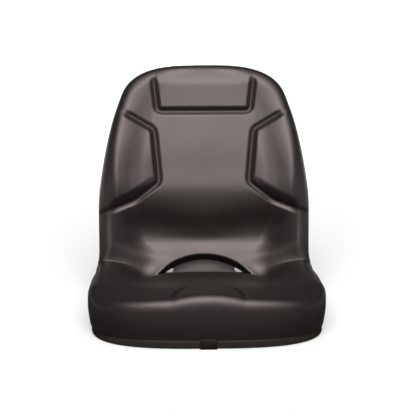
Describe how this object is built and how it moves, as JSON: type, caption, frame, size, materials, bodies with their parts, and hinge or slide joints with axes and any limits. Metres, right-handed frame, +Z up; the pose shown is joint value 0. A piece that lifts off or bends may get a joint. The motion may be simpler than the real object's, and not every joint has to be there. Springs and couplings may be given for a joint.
{
  "type": "bucket seat",
  "caption": "High-back bucket seat: moulded vinyl cushion with wing bolsters, headrest pad and drain slot on a pressed steel pan with a ribbed edge trim.",
  "frame": {"origin": "centre of the four mounting holes, on the plane that the seat is bolted to", "axes": "+Z up, +Y towards the backrest, the open front of the seat faces -Y, +X to the right as seen from the front"},
  "size_m": [0.5302, 0.5846, 0.5474],
  "materials": {
    "vinyl": "grained black vinyl, satin",
    "pan_paint": "black powder coat",
    "trim": "ribbed soft plastic",
    "clip": "smooth, satin",
    "nut_steel": "zinc plated"
  },
  "bodies": {
    "root": {"cushion": "vinyl", "seat_pan": "pan_paint", "edge_trim": "trim", "trim_joint_clip": "clip", "mounting_nuts": "nut_steel"}
  },
  "joints": []
}
